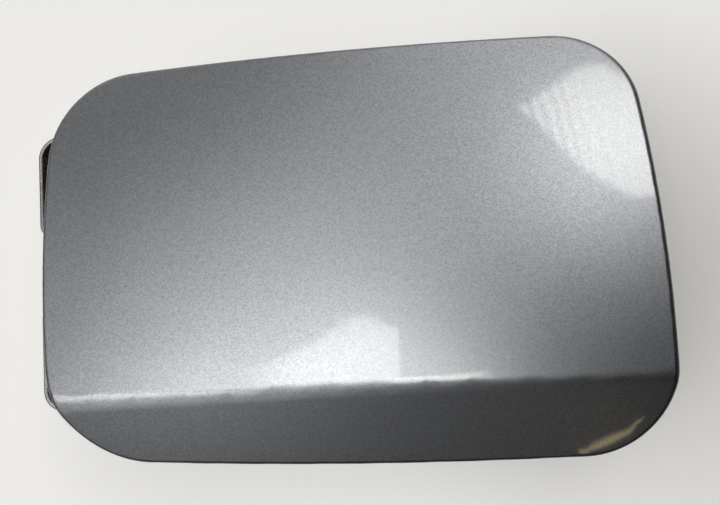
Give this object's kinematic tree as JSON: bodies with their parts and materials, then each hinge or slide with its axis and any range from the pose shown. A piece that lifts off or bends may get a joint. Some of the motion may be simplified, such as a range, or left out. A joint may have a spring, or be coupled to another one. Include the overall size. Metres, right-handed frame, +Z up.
{
  "type": "car fuel door",
  "caption": "Hinged car fuel door: hemmed, creased metal lid on a sprung swan-neck hinge with bolt-on base, latch striker, cap holder and rubber bumpers.",
  "frame": {"origin": "on the mounting face of the hinge base, midway between its two bolt holes", "axes": "+X from the hinge to the latch edge, +Y into the car (the painted face looks along -Y), +Z up along the hinge pin"},
  "size_m": [0.1931, 0.046, 0.1307],
  "materials": {
    "body_paint": "metallic grey base coat under clear coat",
    "base_plating": "zinc plated, dull",
    "pin_steel": "turned steel",
    "spring_steel": "oiled spring wire",
    "bush_nylon": "natural nylon",
    "holder_plastic": "black moulded, fine grain",
    "bumper_rubber": "matt black rubber"
  },
  "bodies": {
    "hinge_base": {"hinge_base": "base_plating", "bush_upper": "bush_nylon", "bush_lower": "bush_nylon", "torsion_spring": "spring_steel"},
    "door": {"outer_panel": "body_paint", "inner_panel": "body_paint", "hinge_arm": "body_paint", "hinge_pin": "pin_steel", "pin_washer": "pin_steel", "pin_clip": "spring_steel", "striker": "base_plating", "cap_holder": "holder_plastic", "bumper_upper": "bumper_rubber", "bumper_lower": "bumper_rubber"}
  },
  "joints": [
    {"name": "door_swing", "type": "hinge", "parent": "hinge_base", "child": "door", "pos_m": [-0.05, -0.018, 0], "axis": [0, 0, -1], "range_deg": [0, 90], "deforming": ["torsion_spring"]}
  ]
}
